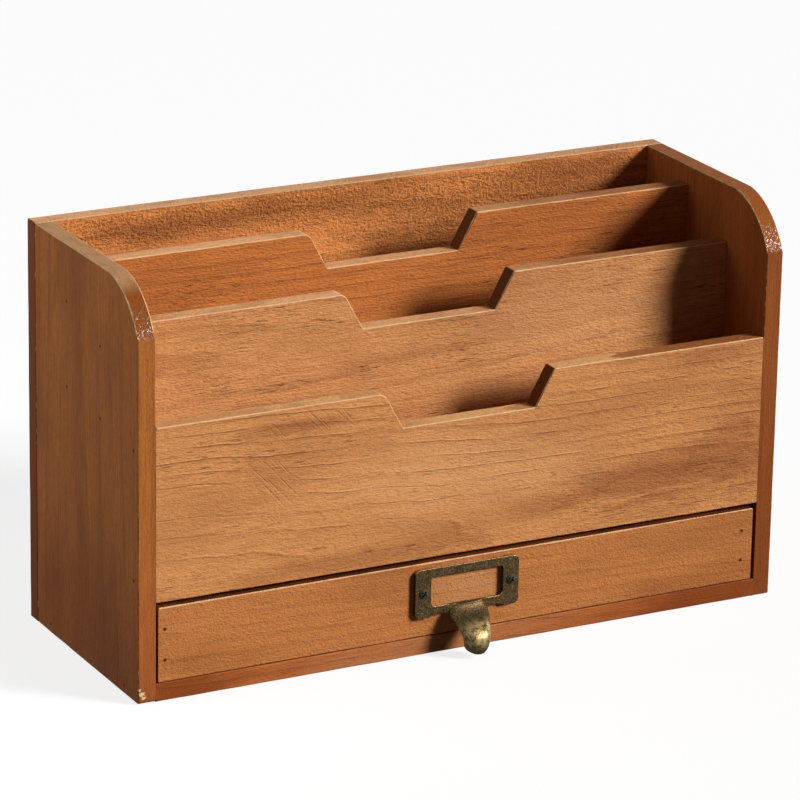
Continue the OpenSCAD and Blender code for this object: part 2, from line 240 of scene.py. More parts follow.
# Edges and wear
END_TUBES = 0.55
BARE_EDGE = (0.2, 0.5)
SANDED = (0.3, 0.52)
SANDING_DETAIL = 3.0
KEPT_SANDING = 0.25
BARE_SHARES = (0.75, 0.1)
MOTTLE_SHARE = 0.3
WEAR_FACING = (0.1, 0.5)
LOWER_WEAR = 0.6
WEAR = Pattern((0.22, 0.22, 0.22), (1.05, 1.4), 3.0)
WEAR_RAGGED = 0.9
CHIP_BREAKS = (0.7, 1.4)
CHIP_EDGE = (0.5, 0.7)

# Relief in millimetres, and shine
END_PEEL = 0.2
KEPT_PEEL = 1.3
FIBRE_HEIGHT = 0.08
PORE_DEPTH = 0.12
SAW_STROKES = Pattern((0.025, 0.7, 0.0), (0.54, 0.66))
SAW_DEPTH = 0.16
SAW_SLANT = math.radians(47)
VARNISH_ROUGHNESS = (0.34, 0.6)
EDGE_GLOSS = 0.02
ARC_POLISH = 0.4
GLINTS = (0.52, 0.64)

# Brass: patina, and the places of its zones in millimetres, with the painted highlight on the tongue's
# right side
BRASS_SPECK = Pattern((1.7, 1.7, 1.7), (0.38, 0.66), 3.0, 0.7)
BRASS_CLOUD = Pattern((0.35, 0.35, 0.35), (0.42, 0.7), 3.0, 0.6)
CLOUD_SHARE = 0.5
TONGUE_AHEAD = (66.5, 71.0)
TONGUE_SHARE = 0.5
RUBBED_AHEAD = (68.5, 74.0)
RUBBED_FROM = (4.0, 10.5)
RUBBED_TO = (13.0, 19.5)
RUBBED_AND_LIT_SIDE = (-7.0, 2.0)
LEAST_ON_SHADED_SIDE = 0.35
RUBBED_CLOUD = 0.9
RUBBED_SPECK = 0.7
RUBBED_RISE = (0.6, 1.0)
PLATE_DEPTH = (-66.5, -65.5)
BESIDE_TONGUE = (9.0, 11.0)
ABOVE_TONGUE = (30.0, 34.0)
RIM_FACING = (0.2, 0.6)
RIM_SPECK = (0.3, 0.6)
FLECKS = (0.62, 0.72)
FLECK_SHARE = 0.5
BRASS_METALLIC = 0.9
BRASS_ROUGHNESS = (0.36, 0.56)
BRASS_GRAIN = 0.1 * MM

# Steel of brads and screws
STEEL_SPECK = Pattern((2.2, 2.2, 2.2), detail=3.0, roughness=0.6)
# Reach and rise of the painted shade in hollows
HOLLOW_REACH = 1.0 * MM
HOLLOW_RISE = (0.4, 0.95)
STEEL_GLOSS = 0.05
STEEL_ROUGHNESS = (0.4, 0.65)
STEEL_GRAIN = 0.03 * MM

# Sockets of a Mix node that mixes colours
MIX_SHARE, MIX_FIRST, MIX_SECOND, MIX_RESULT = 0, 6, 7, 2

PANEL_TOP = (0.04, 0.06, 0.2)
TO_THE_RIGHT = (-40, 140)
FRONT_TOP = 133
FRONT_MARKS = (
    Mark(108, 71, 66, 14, 1, 0.55), Mark(46, 66, 30, 9, 4, 0.34), Mark(-88, 124, 36, 5, 1, 0.42),
    Mark(152, 80, 32, 34, 0, 0.36), Mark(-60, 54, 70, 6, 0, 0.3), Mark(130, 128, 36, 6, 0, 0.25),
    # painted pool of light in the middle of the front panel
    Mark(0, 90, 90, 26, 0, 0.2, PALE_TINT_AND_PAINTED_LIGHT),
)
FRONT_SAW = (Mark(-99, 103, 17, 27), Mark(-75, 126, 22, 7))
FRONT_BARE = (
    Mark(-99, 133, 5, 12), Mark(-76, 133, 15, 12), Mark(0, 115, 34, 9), Mark(64, 133, 24, 12),
)
BACK_ROUGH = (Mark(-40, 191, 260, 12), Mark(75, 180, 90, 26), Mark(-60, 160, 60, 14))
BACK_MARKS = (Mark(120, 180, 60, 40, 0, 0.45), Mark(-90, 191, 90, 7, 0, 0.3))
# The left side gets darker towards the bottom, and its front edge lighter and redder low down.
LEFT_MARKS = (
    Mark(20, 0, 50, 90, 0, 0.35), Mark(100, 3, 170, 9, 0, 0.22), Mark(90, 62, 170, 10, 0, 0.25),
    Mark(34, -62.5, 46, 2.5, 0, 0.2, REDDER_TINT),
)
LEFT_CHIPS = (
    Mark(7.2, -62.5, 1.5, 2, through=-169.4, half_depth=1.9),
    Mark(5.0, -62.5, 2.2, 2, through=-168.2, half_depth=3.0),
    Mark(3.0, -62.5, 2.0, 2, through=-167.2, half_depth=2.0),
)
# The drawer front is darker towards its lower ends; its pale mark is painted light round the label
# window, lightening wood that the pull shades.
DRAWER_MARKS = (
    Mark(140, 14, 60, 9, 0, 0.32), Mark(-130, 15, 40, 8, 0, 0.2),
    Mark(0, 32, 28, 14, 0, 0.2, PALE_TINT_AND_PAINTED_LIGHT),
)
# The bottom board's front edge is darker at both ends and lighter in the middle.
BOTTOM_MARKS = (
    Mark(-145, -62, 38, 14, 0, 0.64), Mark(140, -62, 60, 14, 0, 0.75),
    Mark(-20, -62, 80, 14, 0, 0.12, PALE_TINT_AND_PAINTED_LIGHT),
)
DRAWER_BOX = {
    "pale": srgb(196, 132, 82), "dark": srgb(140, 84, 46), "upper": srgb(190, 130, 84), "wear": 0.6,
}

BOARDS = {
    "left_side_panel": Wood(
        "ZYX", shift=(40, 0, 900), pale=srgb(186, 113, 55), dark=srgb(104, 56, 25), heart=(10, -210),
        ring=9, lines=0.25, streaks=0.9, stain=0.4, relief=0.1, peel=0.2, pores=0.5, gloss=0.02,
        arc_gloss=0.5, end=srgb(138, 77, 34), corner=2.0, joined=(1, FRONT_TOP),
        upper=srgb(192, 146, 102), sanding=PANEL_TOP, front_share=0.12, marks=LEFT_MARKS,
        chips=LEFT_CHIPS),
    "right_side_panel": Wood(
        "ZYX", shift=(700, 0, 300), pale=srgb(180, 103, 50), dark=srgb(118, 60, 26), heart=(-10, 130),
        ring=7, lines=0.3, relief=0.1, peel=0.2, pores=0.5, gloss=0.04, arc_gloss=0.9,
        end=srgb(152, 86, 38), joined=(-1, FRONT_TOP), upper=srgb(172, 118, 74), sanding=PANEL_TOP,
        stain_kept=TO_THE_RIGHT, front_share=0.6),
    "back_panel": Wood(
        "XZY", shift=(90, 40, 20), pale=srgb(252, 160, 84), dark=srgb(118, 58, 26), heart=(120, 110),
        ring=8, lines=0.3, streaks=0.6, dots=0.5, cell=1.0, stretch=1.5, peel=3.2, gloss=0.18,
        end=srgb(120, 64, 28), stain_kept=(60, 300), rough_patches=BACK_ROUGH, marks=BACK_MARKS),
    "bottom_board": Wood(
        "XYZ", shift=(300, 20, 60), pale=srgb(190, 108, 54), dark=srgb(122, 60, 26), heart=(10, -60),
        end_ease=BUTTED, corner=0.1, upper=srgb(120, 66, 36), wear=0.5, marks=BOTTOM_MARKS),
    "pocket_floor": Wood(
        "XYZ", shift=(500, 90, 60), pale=srgb(190, 120, 70), dark=srgb(130, 74, 38), heart=(10, 10),
        end_ease=BUTTED, upper=srgb(170, 104, 60)),
    "front_panel": Wood(
        "XZY", shift=(150, 300, 0), pale=srgb(222, 152, 92), dark=srgb(146, 83, 41), heart=(52, -98),
        ring=5.6, taper=0.03, lines=0.35, streaks=0.6, relief=0.27, cell=0.9, peel=0.55,
        end_ease=BUTTED, upper=srgb(238, 182, 124), stain_kept=TO_THE_RIGHT, bare_patches=FRONT_BARE,
        marks=FRONT_MARKS, saw=FRONT_SAW),
    # The middle divider's pale mark on its right part is a painted sheen.
    "middle_divider": Wood(
        "XZY", shift=(640, 30, 70), pale=srgb(222, 154, 96), dark=srgb(146, 83, 40), heart=(150, -90),
        ring=4, lines=0.3, streaks=0.85, cell=0.9, peel=0.62, pores=0.8, end_ease=BUTTED,
        stain_kept=TO_THE_RIGHT, marks=(Mark(70, 145, 70, 26, 0, 0.16, PALE_TINT_AND_PAINTED_LIGHT),)),
    "rear_divider": Wood(
        "XZY", shift=(880, 0, 400), pale=srgb(210, 126, 62), dark=srgb(132, 68, 29), heart=(80, -60),
        ring=5, lines=0.3, streaks=0.8, cell=0.9, peel=0.66, pores=0.8, end_ease=BUTTED,
        stain_kept=TO_THE_RIGHT, marks=(Mark(100, 175, 60, 40, 0, 0.22),)),
    # The drawer front's upper colour is painted shade, for the gap under the front panel.
    "drawer_front": Wood(
        "XZY", shift=(420, 70, 250), pale=srgb(204, 129, 70), dark=srgb(136, 76, 38), heart=(-40, -90),
        ring=5, lines=0.25, streaks=0.5, relief=0.1, cell=0.9, stretch=1.5, peel=0.6, pores=0.25,
        end_ease=LOOSE, upper=srgb(96, 44, 22), marks=DRAWER_MARKS),
    "drawer_left_side": Wood("YZX", shift=(80, 0, 10), **DRAWER_BOX),
    "drawer_right_side": Wood("YZX", shift=(180, 0, 40), **DRAWER_BOX),
    "drawer_back": Wood("XZY", shift=(260, 0, 90), **DRAWER_BOX),
    "drawer_bottom": Wood(
        "XYZ", shift=(360, 0, 120), pale=srgb(206, 156, 104), dark=srgb(160, 108, 64),
        heart=(10, -300), ring=12, upper=srgb(206, 156, 104)),
}
BRADS = [
    "left_side_brads", "right_side_brads", "back_panel_brads",
    "drawer_front_brads", "drawer_back_brads", "drawer_bottom_tacks",
]


def pairs(loop):
    """Each point of a closed loop with the next one."""
    return zip(loop, loop[1:] + loop[:1])


def link(obj):
    bpy.context.scene.collection.objects.link(obj)
    return obj


# Outlines read from the frame


def triangles(node):
    mesh = frame["nodes"][node].data
    mesh.calc_loop_triangles()
    for triangle in mesh.loop_triangles:
        yield [mesh.vertices[i].co for i in triangle.vertices]


def signed_area(loop):
    return sum(a.x * b.y - b.x * a.y for a, b in pairs(loop)) / 2


def chained(followers):
    """Closed loops from a dictionary of each point's next point."""
    loops = []
    while followers:
        start, point = followers.popitem()
        loop = [start]
        while point != start:
            loop.append(point)
            point = followers.pop(point)
        loops.append([Vector(p) for p in loop])
    return loops


def face_loops(node, axis, level):
    """Outline of a node's flat face at a level along an axis, and the outlines of the holes in it."""
    spread = [i for i in range(3) if i != axis]
    edges = set()
    for corners in triangles(node):
        if any(abs(p[axis] - level) > FLAT for p in corners):
            continue
        keys = [tuple(round(p[i], KEY_DIGITS) for i in spread) for p in corners]
        edges.update(pairs(keys))
    border = sorted((a, b) for a, b in edges if (b, a) not in edges)
    loops = chained(dict(border))
    loops.sort(key=lambda loop: abs(signed_area(loop)), reverse=True)
    outline = loops[0]
    if signed_area(outline) < 0:
        outline.reverse()
    return outline, loops[1:]


# Boards with eased arrises


class Corner:
    """One corner of a board's outline: the way round it and the direction into the board."""

    def __init__(self, before, tip, after, ease):
        self.tip = tip
        self.ease = ease
        self.back = (before - tip).normalized()
        self.on = (after - tip).normalized()
        arriving = Vector((self.back.y, -self.back.x))
        leaving = Vector((-self.on.y, self.on.x))
        self.inward = (arriving, leaving)
        self.miter = (arriving + leaving) / (1 + arriving.dot(leaving))
        turn = math.pi - self.back.angle(self.on)
        self.sharp = turn > CORNER_TURN
        self.slope = math.tan(turn / 2)
        self.bend = 1 if self.back.cross(self.on) < 0 else -1
        curved = self.bend > 0 and not self.sharp and turn > 0
        nearer = min((before - tip).length, (after - tip).length)
        self.room = CURVE_SHARE * nearer / turn if curved else math.inf

    def point(self, share, inset):
        """A point some share of the way round the rounded corner, with the outline moved inward."""
        tip = self.tip + self.miter * min(inset, self.room)
        if not self.sharp:
            return tip
        reach = max(LEAST_REACH, (self.ease - self.bend * inset) * self.slope)
        start = tip + self.back * reach
        end = tip + self.on * reach
        return start * (1 - share) ** 2 + tip * 2 * share * (1 - share) + end * share ** 2

    def outward(self, share):
        if not self.sharp:
            share = 0.5
        return -self.inward[0].lerp(self.inward[1], share).normalized()


class Outline:
    """A board's outline with eased corners. A stop is (corner, share round it, share to the next)."""

    def __init__(self, tips, ease):
        afters = tips[1:] + tips[:1]
        befores = tips[-1:] + tips[:-1]
        self.corners = [Corner(*three, ease) for three in zip(befores, tips, afters)]
        self.stops = []
        for i, (here, there) in enumerate(pairs(self.corners)):
            if here.sharp:
                self.stops += [(i, k / CORNER_STEPS, 0.0) for k in range(CORNER_STEPS)]
            length = (there.point(0.0, 0.0) - here.point(1.0, 0.0)).length
            spans = max(1, math.ceil(length / OUTLINE_STEP))
            self.stops += [(i, 1.0, k / spans) for k in range(spans)]

    def point(self, stop, inset=0.0):
        i, share, run = stop
        there = self.corners[(i + 1) % len(self.corners)]
        return self.corners[i].point(share, inset).lerp(there.point(0.0, inset), run)

    def outward(self, stop):
        i, share, run = stop
        there = self.corners[(i + 1) % len(self.corners)]
        return self.corners[i].outward(share).lerp(there.outward(0.0), run).normalized()


class Slab:
    """Mesh of a flat board: two faces with pits for brad heads, an edge all round, eased arrises."""

    def __init__(self, look, ease):
        grain, _, self.axis = (AXES.index(letter) for letter in look.axes)
        self.spread = [i for i in range(3) if i != self.axis]
        self.grain = self.spread.index(grain)
        self.ease = ease
        self.end_share = look.end_ease
        self.joined_face, self.joined_height = look.joined
        self.bm = bmesh.new()
        self.normals = []
        self.wear = []

    def lift(self, flat, level):
        point = Vector()
        point[self.spread[0]] = flat.x
        point[self.spread[1]] = flat.y
        point[self.axis] = level
        return point

    def vertex(self, flat, level, normal, worn):
        self.normals.append(normal)
        self.wear.append(worn)
        return self.bm.verts.new(self.lift(flat, level))

    def bridge(self, first, second):
        for (a, b), (c, d) in zip(pairs(first), pairs(second)):
            self.bm.faces.new((a, b, d, c))

    def arris_share(self, outline, stop, facing):
        """Share of the full arris: less where boards meet, at the ends or low on the joined face."""
        if facing == self.joined_face and outline.point(stop).y < self.joined_height * MM:
            return BUTTED
        ending = (abs(outline.outward(stop)[self.grain]) - END_FACING) / (1 - END_FACING)
        return 1 + (self.end_share - 1) * max(0.0, ending)

    def arris_swing(self, outline, stop, level):
        return 1 + ARRIS_SWING * noise.noise(self.lift(outline.point(stop), level) / ARRIS_WAVE)

    def side_rings(self, outline, level, facing, half):
        """Rings from the face at that level over its arris to the edge of the board."""
        shares = [self.arris_share(outline, stop, facing) for stop in outline.stops]
        band = min(WALL_BAND, half - 2 * self.ease)
        quarter = 0.5 * math.pi / ARRIS_STEPS
        rings = [(FACE_BAND, 0.0, 0.0, 0.0)]
        for k in range(ARRIS_STEPS + 1):
            rings.append((0.0, 0.0, k * quarter, 1.0 if 0 < k < ARRIS_STEPS else RIM_WEAR))
        rings.append((0.0, band, 0.5 * math.pi, 0.0))
        made = []
        for extra_inset, extra_depth, lean, worn in rings:
            ring = []
            for stop, share in zip(outline.stops, shares):
                radius = self.ease * share * self.arris_swing(outline, stop, level)
                flat = outline.point(stop, radius * (1 - math.sin(lean)) + extra_inset)
                depth = radius * (1 - math.cos(lean)) + extra_depth
                normal = self.lift(outline.outward(stop) * math.sin(lean), facing * math.cos(lean))
                ring.append(self.vertex(flat, level - facing * depth, normal, worn * share))
            made.append(ring)
        return made

    def pit(self, loop, level, facing):
        """A brad pit in the face at that level. Gives its rim."""
        normal = self.lift(Vector((0, 0)), facing)
        rim_wear_and_highlight = [self.vertex(p, level, normal, 0.0) for p in loop]
        base = [self.vertex(p, level - facing * PIT_DEPTH, normal, 0.0) for p in loop]
        self.bridge(rim_wear_and_highlight, base)
        self.bm.faces.new(base)
        return rim_wear_and_highlight

    def cap(self, loops):
        edges = [self.bm.edges.get((a, b)) for loop in loops for a, b in pairs(loop)]
        bmesh.ops.triangle_fill(self.bm, use_beauty=True, edges=edges)

    def build(self, name, outline, levels, pits):
        half = (levels[1] - levels[0]) / 2
        sides = []
        for level, facing, loops in zip(levels, (-1, 1), pits):
            rings = self.side_rings(outline, level, facing, half)
            for first, second in zip(rings, rings[1:]):
                self.bridge(first, second)
            rims = [self.pit(loop, level, facing) for loop in loops]
            self.cap([rings[0]] + rims)
            sides.append(rings)
        self.bridge(sides[0][-1], sides[1][-1])
        bmesh.ops.recalc_face_normals(self.bm, faces=self.bm.faces)
        mesh = bpy.data.meshes.new(name)
        self.bm.to_mesh(mesh)
        self.bm.free()
        mesh.shade_smooth()
        worn = mesh.attributes.new("wear", "FLOAT", "POINT")
        worn.data.foreach_set("value", self.wear)
        mesh.normals_split_custom_set_from_vertices(self.normals)
        return mesh


# Node trees


class Value:
    """A socket of a node tree. What is done with a value adds the nodes that work it out."""

    def __init__(self, nodes, socket):
        self.nodes = nodes
        self.socket = socket

    def math(self, operation, *others):
        return self.nodes.add("Math", dict(enumerate((self, *others))), operation=operation)

    def vector(self, operation, *others):
        return self.nodes.add("VectorMath", dict(enumerate((self, *others))), operation=operation)

    def __add__(self, other):
        return self.math("ADD", other)

    def __sub__(self, other):
        return self.math("SUBTRACT", other)

    def __rsub__(self, other):
        return self.nodes.add("Math", {0: other, 1: self}, operation="SUBTRACT")

    def __mul__(self, other):
        return self.math("MULTIPLY", other)

    def __truediv__(self, other):
        return self.math("DIVIDE", other)

    def most(self, other):
        return self.math("MAXIMUM", other)

    def parts(self):
        """The three parts of a vector."""
        made = self.nodes.make("SeparateXYZ", {0: self})
        return [Value(self.nodes, socket) for socket in made.outputs]

    def step(self, low, high):
        """0 below low, 1 above high, and a smooth rise between."""
        inputs = {"Value": self, "From Min": low, "From Max": high}
        return self.nodes.add("MapRange", inputs, "Result", interpolation_type="SMOOTHSTEP")

    def span(self, low, high):
        """A value from 0 to 1 stretched to run from low to high."""
        return self.nodes.add("MapRange", {"Value": self, "To Min": low, "To Max": high}, "Result")

    def noise(self, pattern, output="Fac"):
        inputs = {
            "Vector": self.vector("MULTIPLY", pattern.scale),
            "Scale": 1.0,
            "Detail": pattern.detail,
            "Roughness": pattern.roughness,
        }
        return self.nodes.add("TexNoise", inputs, output)

    def cut(self, pattern):
        """A noise that runs from 0 to 1 over its pattern's rise."""
        return self.noise(pattern).step(*pattern.rise)


class Nodes:
    """The node tree of the world or a material."""

    def __init__(self, tree):
        self.tree = tree

    def feed(self, socket, value):
        if isinstance(value, Value):
            self.tree.links.new(value.socket, socket)
        else:
            socket.default_value = value

    def make(self, kind, inputs, **settings):
        made = self.tree.nodes.new("ShaderNode" + kind)
        for key, value in settings.items():
            setattr(made, key, value)
        for key, value in inputs.items():
            self.feed(made.inputs[key], value)
        return made

    def add(self, kind, inputs, output=0, **settings):
        return Value(self, self.make(kind, inputs, **settings).outputs[output])

    def blend(self, share, first, second):
        inputs = {MIX_SHARE: share, MIX_FIRST: first, MIX_SECOND: second}
        return self.add("Mix", inputs, MIX_RESULT, data_type="RGBA")

    def place(self):
        """The place in the CAD frame, in millimetres."""
        return self.add("TexCoord", {}, "Object").vector("MULTIPLY", PER_MM)

    def facing(self):
        """The three parts of the direction that the surface faces."""
        return self.add("TexCoord", {}, "Normal").parts()

    def bright_rays(self):
        """1 for the rays that see the white background, and 0 for the rest."""
        path = self.make("LightPath", {})
        camera, glossy, transmitted = (Value(self, path.outputs[name]) for name in BRIGHT_RAYS)
        return camera.most(glossy.most(transmitted))


class Surface(Nodes):
    """A material round a Principled shader."""

    def __init__(self, name):
        self.material = bpy.data.materials.new(name)
        self.material.use_nodes = True
        super().__init__(self.material.node_tree)
        self.tree.nodes.clear()
        self.shader = self.make("BsdfPrincipled", {})
        self.make("OutputMaterial", {"Surface": Value(self, self.shader.outputs[0])})

    def set(self, **inputs):
        for key, value in inputs.items():
            self.feed(self.shader.inputs[key.replace("_", " ")], value)

    def bump(self, height, distance):
        return self.add("Bump", {"Height": height, "Distance": distance, "Strength": 1.0})


# Wood


def wandering(place, pattern, reach):
    """An uneven shift across and through the log."""
    off_middle = place.noise(pattern, "Color").vector("SUBTRACT", (MIDDLE,) * 3)
    return off_middle.vector("MULTIPLY", (0.0, reach, reach))


def ring_share(here, place, look):
    """How far a point lies through its growth ring, from 0 to 1, going out from the log's heart."""
    wander = wandering(place, WANDER, WANDER_REACH)
    ripple = wandering(place, RIPPLE, RIPPLE_REACH)
    offset = here.vector("ADD", wander.vector("ADD", ripple)).vector("SUBTRACT", (0.0, *look.heart))
    along, across, through = offset.parts()
    radius = (across * across + through * through).math("SQRT")
    return ((radius + along * look.taper) / look.ring).math("FRACT")


def patch(here, mark):
    """1 in the middle of a mark, 0 outside it, with a ragged soft edge."""
    inputs = {
        "Vector": here,
        "Location": (mark.along, mark.across, mark.through),
        "Rotation": (0.0, 0.0, math.radians(mark.tilt)),
        "Scale": (mark.half_length, mark.half_width, mark.half_depth),
    }
    inside = here.nodes.add("Mapping", inputs, vector_type="TEXTURE")
    distance = here.nodes.add("VectorMath", {0: inside}, "Value", operation="LENGTH")
    return 1 - (distance + here.noise(PATCH_EDGE) * PATCH_RAGGED).step(*PATCH_EDGE.rise)


def patches(here, marks):
    """Several marks together."""
    covered = patch(here, marks[0])
    for mark in marks[1:]:
        covered = covered.most(patch(here, mark))
    return covered


class Grain:
    """The patterns of one board, read at each point from its place along, across and through the log."""

    def __init__(self, surface, look):
        order = [AXES.index(letter) for letter in look.axes]
        spot = surface.place().parts()
        facing = surface.facing()
        self.here = surface.add("CombineXYZ", {i: spot[axis] for i, axis in enumerate(order)})
        self.place = self.here.vector("ADD", look.shift)
        self.kept = spot[0].step(*look.stain_kept)
        self.along = facing[order[0]].math("ABSOLUTE")
        self.ahead = facing[1] * -1.0
        self.up = facing[2]
        self.end = self.along.step(*END_GRAIN)

        ring = ring_share(self.here, self.place, look)
        fade = self.place.cut(RING_FADE).span(LEAST_FADE, 1.0)
        self.late = ring.step(*LATE_WOOD) * (1 - ring.step(*RING_END)) * fade
        seam = ring.step(*SEAM_START) * (1 - ring.step(*SEAM_END))
        side = self.place.cut(SEAM_SIDE).span(-1.0, 1.0)
        self.ridge = seam * side * self.place.cut(SEAM_BREAKS)

        self.streak = self.place.cut(STREAK)
        self.fibre = self.place.noise(FIBRE)
        self.pores = self.place.cut(PORE_DASH) * self.place.cut(PORE_CROWD) * look.pores
        self.stain = self.place.cut(STAIN_CLOUD)
        self.tubes = self.here.cut(TUBES)
        cells = 1 / look.cell
        varnish = Pattern(
            (cells / look.stretch, cells, cells), detail=SPECK_DETAIL, roughness=SPECK_ROUGHNESS)
        self.speck = self.here.noise(varnish)
        if look.rough_patches:
            rough = patches(self.here, look.rough_patches).span(SMOOTH_SHARE, 1.0)
            self.speck = (self.speck - MIDDLE) * rough + MIDDLE
        self.dots = 1 - self.speck.step(*DOTS)


def stained_faces(surface, grain, look):
    """Colour of the long-grain faces: rings, streaks, fibres, pores and uneven stain."""
    colour = look.pale
    layers = (
        (grain.late, look.lines),
        (grain.streak, STREAK_SHARE * look.streaks),
        (grain.fibre.step(*FIBRE.rise), FIBRE_SHARE * look.streaks),
        (grain.dots, look.dots),
        (grain.stain, look.stain),
    )
    for pattern, share in layers:
        colour = surface.blend(pattern * share, colour, look.dark)
    colour = surface.blend(grain.pores, colour, PORE)
    if look.front_share:
        colour = surface.blend(grain.ahead.step(*FRONTWARD) * look.front_share, colour, look.dark)
    for mark in look.marks:
        colour = surface.blend(patch(grain.here, mark) * mark.strength, colour, mark.tint)
    return colour


def edged(surface, grain, look, colour):
    """The colour with end grain, upper edges sanded bare in places, worn arrises and chips. The drawer
    front's upper colour is painted shade.
    """
    end = surface.blend(grain.tubes * END_TUBES, look.end, look.dark)
    colour = surface.blend(grain.end, colour, end)
    if look.bare_patches:
        sanded = patches(grain.here, look.bare_patches).step(*BARE_EDGE)
    else:
        sanding = Pattern(look.sanding, SANDED, SANDING_DETAIL)
        sanded = grain.place.cut(sanding) * grain.kept.span(1.0, KEPT_SANDING)
    upper = surface.blend(sanded.most(grain.kept.span(*BARE_SHARES)), STAINED_EDGE, look.upper)
    mottle = grain.dots.most(grain.end * grain.tubes)
    upper = surface.blend(mottle * MOTTLE_SHARE, upper, look.dark)
    colour = surface.blend(grain.up.step(*UPWARD), colour, upper)
    worn = surface.add("Attribute", {}, "Fac", attribute_name="wear")
    chance = worn * grain.up.step(*WEAR_FACING).span(LOWER_WEAR, look.wear)
    ragged = grain.here.noise(WEAR) * WEAR_RAGGED + chance
    colour = surface.blend(ragged.step(*WEAR.rise), colour, BARE_WOOD)
    if look.chips:
        chipped = patches(grain.here, look.chips) * grain.tubes.span(*CHIP_BREAKS)
        colour = surface.blend(chipped.step(*CHIP_EDGE), colour, CHIPPED)
    return colour


def relief(surface, grain, look):
    """Height in millimetres: varnish texture, fibres, ring seams, pores and saw marks."""
    peel = grain.end.span(look.peel, END_PEEL) * grain.kept.span(1.0, KEPT_PEEL)
    height = grain.fibre * FIBRE_HEIGHT + peel * grain.speck
    height = height + grain.ridge * look.relief - grain.pores * PORE_DEPTH
    for mark in look.saw:
        inputs = {"Vector": grain.here, "Angle": SAW_SLANT}
        turned = surface.add("VectorRotate", inputs, rotation_type="Z_AXIS")
        height = height - turned.cut(SAW_STROKES) * patch(grain.here, mark) * SAW_DEPTH
    return height


def wood(name, look):
    surface = Surface(name)
    grain = Grain(surface, look)
    roughness = grain.fibre.span(*VARNISH_ROUGHNESS)
    gloss = grain.end.most(grain.up.step(*UPWARD)).span(look.gloss, EDGE_GLOSS)
    if look.arc_gloss:
        rounded = grain.along.step(*ARC_START) * (1 - grain.along.step(*ARC_END))
        roughness = roughness * rounded.span(1.0, ARC_POLISH)
        gloss = gloss + rounded * grain.speck.step(*GLINTS) * look.arc_gloss
    colour = edged(surface, grain, look, stained_faces(surface, grain, look))
    surface.set(Base_Color=colour, Roughness=roughness, Specular_IOR_Level=gloss)
    surface.set(Normal=surface.bump(relief(surface, grain, look), MM))
    return surface.material


# Metal


def brass(name):
    surface = Surface(name)
    here = surface.place()
    across, depth, height = here.parts()
    ahead = depth * -1.0
    speck = here.noise(BRASS_SPECK)
    cloud = here.noise(BRASS_CLOUD)
    colour = surface.blend(speck.step(*BRASS_SPECK.rise), PATINA_DARK, PATINA_PALE)
    colour = surface.blend(cloud.step(*BRASS_CLOUD.rise) * CLOUD_SHARE, colour, PATINA_CLOUD)

    # The tongue is darker than the plate, and rubbed bright where fingers pull, more so on its right
    # side as a painted highlight
    colour = surface.blend(ahead.step(*TONGUE_AHEAD) * TONGUE_SHARE, colour, TONGUE_DARK)
    finger = ahead.step(*RUBBED_AHEAD) * height.step(*RUBBED_FROM) * (1 - height.step(*RUBBED_TO))
    finger = finger * across.step(*RUBBED_AND_LIT_SIDE).span(LEAST_ON_SHADED_SIDE, 1.0)
    rubbed_and_highlight = finger * (cloud * RUBBED_CLOUD + speck * RUBBED_SPECK).step(*RUBBED_RISE)

    # So are the plate's upward edges, worn bright and lit as a painted highlight, and a few flecks
    beside = across.math("ABSOLUTE").step(*BESIDE_TONGUE)
    plate = depth.step(*PLATE_DEPTH) * beside.most(height.step(*ABOVE_TONGUE))
    rim_wear_and_highlight = plate * surface.facing()[2].step(*RIM_FACING) * speck.step(*RIM_SPECK)
    flecks = speck.step(*FLECKS) * FLECK_SHARE
    colour = surface.blend(rubbed_and_highlight.most(rim_wear_and_highlight).most(flecks), colour, BRIGHT_BRASS)
    surface.set(Base_Color=colour, Metallic=BRASS_METALLIC, Roughness=speck.span(*BRASS_ROUGHNESS))
    surface.set(Normal=surface.bump(speck, BRASS_GRAIN))
    return surface.material


def dark_steel(name, dark, pale, hollow_shade):
    surface = Surface(name)
    speck = surface.place().noise(STEEL_SPECK)
    # Painted shade: darker colour where ambient occlusion finds a hollow, such as the screws' cross and
    # the brads' pits
    open_share = surface.add("AmbientOcclusion", {"Distance": HOLLOW_REACH}, "AO")
    colour = surface.blend(open_share.step(*HOLLOW_RISE), hollow_shade, surface.blend(speck, dark, pale))
    surface.set(Base_Color=colour, Specular_IOR_Level=STEEL_GLOSS)
    surface.set(Roughness=speck.span(*STEEL_ROUGHNESS), Normal=surface.bump(speck, STEEL_GRAIN))
    return surface.material


# Pieces


def dress(piece, node, material):
    """The piece stands for a CAD node and hides it: it joins the node's body and takes the given
    material.
    """
    record = frame["record"]
    bodies = {n: body for body, members in record["behaviour"]["bodies"].items() for n in members}
    piece.data.materials.clear()
    piece.data.materials.append(material)
    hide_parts(node)
    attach(piece, bodies[node])


def make_board(node, look):
    low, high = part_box(node)
    axis = AXES.index(look.axes[2])
    levels = (low[axis], high[axis])
    outline = face_loops(node, axis, levels[0])[0]
    pits = [face_loops(node, axis, level)[1] for level in levels]
    ease = min(ARRIS, (high[axis] - low[axis]) * ARRIS_PER_THICKNESS)
    rounded = Outline(outline, look.corner * MM)
    mesh = Slab(look, ease).build(node + "_board", rounded, levels, pits)
    dress(link(bpy.data.objects.new(node + "_board", mesh)), node, wood(node + "_wood", look))


